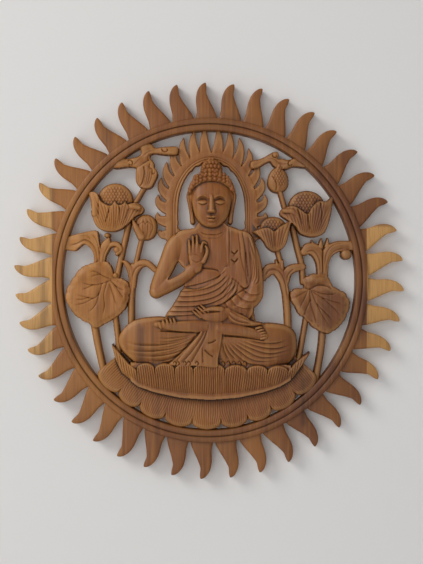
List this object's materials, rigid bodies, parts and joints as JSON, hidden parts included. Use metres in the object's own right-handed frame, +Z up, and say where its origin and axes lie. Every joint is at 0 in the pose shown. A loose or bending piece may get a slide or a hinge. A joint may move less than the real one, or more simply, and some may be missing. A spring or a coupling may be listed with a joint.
{
  "type": "wall carving",
  "caption": "Round pierced wood relief wall carving of a seated Buddha on a lotus throne with a flame halo, among lotus flowers in a grooved ring with flame rays.",
  "frame": {"origin": "centre of the wall mount, on the flat back of the ring's band at the top of the ring", "axes": "+Z up, +X to the right as the viewer sees the front, +Y into the wall, so the carved front faces -Y and the back lies in y = 0"},
  "size_m": [0.388, 0.0295, 0.3965],
  "materials": {
    "wood": "satin"
  },
  "bodies": {
    "root": {"carved_panel": "wood"}
  },
  "joints": []
}
